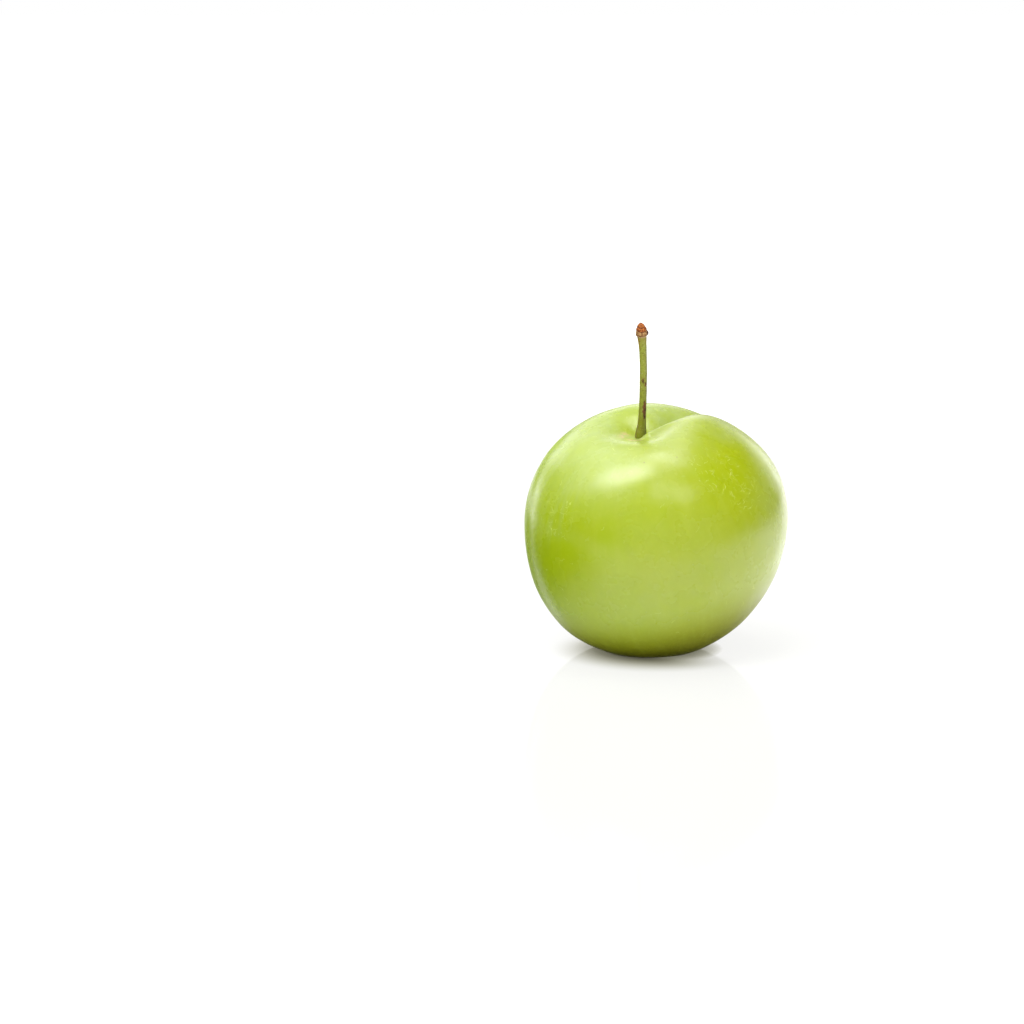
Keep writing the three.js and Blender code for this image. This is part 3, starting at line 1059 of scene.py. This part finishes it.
def pale_floor():
    half = FLOOR_SIZE / 2
    height = (FLOOR_HEIGHT - FLOOR_DROP) * MM
    sides = [(-half, -half), (half, -half), (half, half), (-half, half)]
    mesh = bpy.data.meshes.new("floor")
    mesh.from_pydata([(x, y, height) for x, y in sides], [], [(0, 1, 2, 3)])
    mesh.materials.append(floor_material())
    floor = bpy.data.objects.new("floor", mesh)
    bpy.context.scene.collection.objects.link(floor)


def softbox(name, across, behind, width, depth, turn, brightness):
    """A glowing panel that faces down from LIGHT_HEIGHT above the fruit's centre.

    Its place and size are given as shares of that height.
    """
    light = bpy.data.lights.new(name, "AREA")
    light.shape = "RECTANGLE"
    light.size = width * LIGHT_HEIGHT
    light.size_y = depth * LIGHT_HEIGHT
    light.energy = math.pi * light.size * light.size_y * brightness
    lamp = bpy.data.objects.new(name, light)
    centre = Vector(CENTRE) * MM
    lamp.location = centre + Vector((across, behind, 1)) * LIGHT_HEIGHT
    lamp.rotation_euler.z = math.radians(turn)
    lamp.visible_camera = False
    bpy.context.scene.collection.objects.link(lamp)


def neighbour_view(room, looking):
    """1 where a neighbouring plum would stand, as seen from the fruit, and 0 elsewhere."""
    green = 0.0
    for azimuth, elevation, half_width in NEIGHBOUR_VIEWS:
        nearness = room.dot(looking, toward(azimuth, elevation))
        outer = math.cos(math.radians(half_width + 2))
        inner = math.cos(math.radians(half_width - 2))
        green = room.math("MAXIMUM", green, room.fade(nearness, outer, inner))
    return green


def white_room():
    """Soft glows all round, and plain white where the camera looks past the floor."""
    world = bpy.data.worlds.new("white_room")
    bpy.context.scene.world = world
    world.use_nodes = True
    room = Nodes(world.node_tree)
    looking = room.vector("NORMALIZE", room.node("ShaderNodeTexCoord").outputs["Generated"])
    mirrored = room.node("ShaderNodeLightPath").outputs["Is Glossy Ray"]
    light = 0.0
    for name, (azimuth, elevation, sharpness, brightness) in ROOM_GLOWS.items():
        if name in DULL_GLOWS:
            lost = DULL_GLOWS[name] * brightness
            brightness = room.math("MULTIPLY_ADD", mirrored, -lost, brightness)
        nearness = room.dot(looking, toward(azimuth, elevation))
        glow = room.math("EXPONENT", room.math("MULTIPLY_ADD", nearness, sharpness, -sharpness))
        light = room.math("MULTIPLY_ADD", glow, brightness, light)
    seen = room.node("ShaderNodeLightPath").outputs["Is Camera Ray"]
    green = neighbour_view(room, looking)
    light = room.math("MULTIPLY_ADD", light, room.math("SUBTRACT", 1.0, green), green)
    seen_green = room.math("MINIMUM", green, room.math("SUBTRACT", 1.0, seen))
    background = room.tree.nodes["Background"]
    room.put(background.inputs["Strength"], room.math("MAXIMUM", light, seen))
    room.put(background.inputs["Color"], room.mix(seen_green, (1.0, 1.0, 1.0), NEIGHBOUR_GREEN))


def photo_camera():
    """A camera that looks along +Y and down, with the fruit right of the picture's middle."""
    camera = bpy.data.cameras.new("camera")
    camera.lens = LENS
    camera.sensor_width = SENSOR_WIDTH
    view = bpy.data.objects.new("camera", camera)
    forward = Vector((0, math.cos(CAMERA_TILT), -math.sin(CAMERA_TILT)))
    right = Vector((1, 0, 0))
    up = Vector((0, math.sin(CAMERA_TILT), math.cos(CAMERA_TILT)))
    moved = up * CAMERA_MOVED_UP - right * CAMERA_MOVED_LEFT
    view.location = (CAMERA_TARGET - forward * CAMERA_DISTANCE + moved) * MM
    view.rotation_euler = (math.pi / 2 - CAMERA_TILT, 0, 0)
    bpy.context.scene.collection.objects.link(view)
    bpy.context.scene.camera = view


pale_floor()
softbox("key", across=-0.34, behind=-0.32, width=0.81, depth=0.36, turn=16, brightness=9.8)
softbox("key_end", across=0.18, behind=0.07, width=0.48, depth=0.17, turn=-41, brightness=8.0)
softbox("fill", across=0.52, behind=-0.78, width=0.80, depth=0.50, turn=6, brightness=3.4)
white_room()
photo_camera()

bpy.context.scene.view_settings.view_transform = "Standard"
